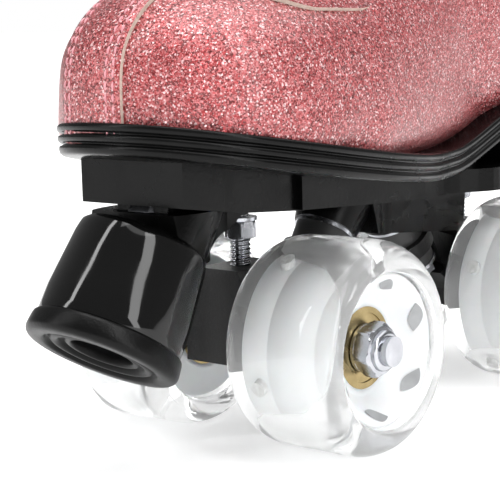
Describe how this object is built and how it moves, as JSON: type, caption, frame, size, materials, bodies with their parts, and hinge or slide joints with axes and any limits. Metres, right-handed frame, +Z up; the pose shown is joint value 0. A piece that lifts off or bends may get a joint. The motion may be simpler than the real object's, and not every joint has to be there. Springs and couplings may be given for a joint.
{
  "type": "quad roller skate",
  "caption": "High-laced quad roller skate with a glitter leather boot, moulded plate, sprung steering trucks, clear light-up wheels and a toe stop.",
  "frame": {"origin": "on the ground under the middle of the skate's overall box", "axes": "+Z up, -Y towards the toe, +X towards the left side of the skate"},
  "size_m": [0.099, 0.25, 0.2746],
  "materials": {
    "glitter_leather": "pink glitter synthetic leather",
    "lining_fabric": "knitted lining",
    "sole_rubber": "moulded rubber, satin",
    "lace_fabric": "woven polyester",
    "eyelet_metal": "nickel-plated",
    "plate_plastic": "glass-filled nylon, semi-gloss",
    "zinc_steel": "bright zinc plate",
    "stop_housing": "polished",
    "stop_rubber": "matte",
    "hanger_paint": "satin black powder coat on cast alloy",
    "cup_plastic": "acetal",
    "cushion_rubber": "urethane",
    "bearing_steel": "ground",
    "bearing_shield": "gold-tinted steel shields",
    "magnet_metal": "nickel-plated magnet",
    "clear_urethane": "clear cast urethane",
    "core_plastic": "frosted white",
    "light_lens": "clear diode lens"
  },
  "bodies": {
    "skate": {"boot_upper": "glitter_leather", "toe_strip": "glitter_leather", "eyestay": "glitter_leather", "heel_counter": "glitter_leather", "collar": "glitter_leather", "lining": "lining_fabric", "tongue": "glitter_leather", "insole": "lining_fabric", "outsole": "sole_rubber", "heel_block": "sole_rubber", "laces": "lace_fabric", "eyelets": "eyelet_metal", "plate": "plate_plastic", "plate_screws": "zinc_steel", "toe_stop_cone": "stop_housing", "toe_stop_pad": "stop_rubber", "toe_stop_bolt": "zinc_steel", "toe_stop_nut": "zinc_steel", "front_pivot_cup": "cup_plastic", "front_kingpin": "zinc_steel", "front_kingpin_nut": "zinc_steel", "front_cushion_washers": "zinc_steel", "front_upper_cushion": "cushion_rubber", "front_lower_cushion": "cushion_rubber", "rear_pivot_cup": "cup_plastic", "rear_kingpin": "zinc_steel", "rear_kingpin_nut": "zinc_steel", "rear_cushion_washers": "zinc_steel", "rear_upper_cushion": "cushion_rubber", "rear_lower_cushion": "cushion_rubber"},
    "front_truck": {"front_hanger": "hanger_paint", "front_pivot_bolt": "zinc_steel", "front_pivot_locknut": "zinc_steel", "front_axle": "zinc_steel", "front_axle_nuts": "zinc_steel", "front_bearing_inners": "bearing_steel", "front_magnets": "magnet_metal"},
    "front_left_wheel": {"front_left_tyre": "clear_urethane", "front_left_core": "core_plastic", "front_left_bearings": "bearing_shield", "front_left_lights": "light_lens"},
    "front_right_wheel": {"front_right_tyre": "clear_urethane", "front_right_core": "core_plastic", "front_right_bearings": "bearing_shield", "front_right_lights": "light_lens"},
    "rear_truck": {"rear_hanger": "hanger_paint", "rear_pivot_bolt": "zinc_steel", "rear_pivot_locknut": "zinc_steel", "rear_axle": "zinc_steel", "rear_axle_nuts": "zinc_steel", "rear_bearing_inners": "bearing_steel", "rear_magnets": "magnet_metal"},
    "rear_left_wheel": {"rear_left_tyre": "clear_urethane", "rear_left_core": "core_plastic", "rear_left_bearings": "bearing_shield", "rear_left_lights": "light_lens"},
    "rear_right_wheel": {"rear_right_tyre": "clear_urethane", "rear_right_core": "core_plastic", "rear_right_bearings": "bearing_shield", "rear_right_lights": "light_lens"}
  },
  "joints": [
    {"name": "front_steering", "type": "hinge", "parent": "skate", "child": "front_truck", "pos_m": [0, -0.053, 0.067], "axis": [0, 0.8379, -0.5459], "range_deg": [-7, 7], "stiffness_Nm_per_rad": 20, "deforming": ["front_upper_cushion", "front_lower_cushion"]},
    {"name": "front_left_spin", "type": "hinge", "parent": "front_truck", "child": "front_left_wheel", "pos_m": [0.028, -0.05, 0.029], "axis": [1, 0, 0], "continuous": true},
    {"name": "front_right_spin", "type": "hinge", "parent": "front_truck", "child": "front_right_wheel", "pos_m": [-0.028, -0.05, 0.029], "axis": [1, 0, 0], "continuous": true},
    {"name": "rear_steering", "type": "hinge", "parent": "skate", "child": "rear_truck", "pos_m": [0, 0.057, 0.067], "axis": [0, -0.8379, -0.5459], "range_deg": [-7, 7], "stiffness_Nm_per_rad": 20, "deforming": ["rear_upper_cushion", "rear_lower_cushion"]},
    {"name": "rear_left_spin", "type": "hinge", "parent": "rear_truck", "child": "rear_left_wheel", "pos_m": [0.028, 0.054, 0.029], "axis": [1, 0, 0], "continuous": true},
    {"name": "rear_right_spin", "type": "hinge", "parent": "rear_truck", "child": "rear_right_wheel", "pos_m": [-0.028, 0.054, 0.029], "axis": [1, 0, 0], "continuous": true}
  ]
}
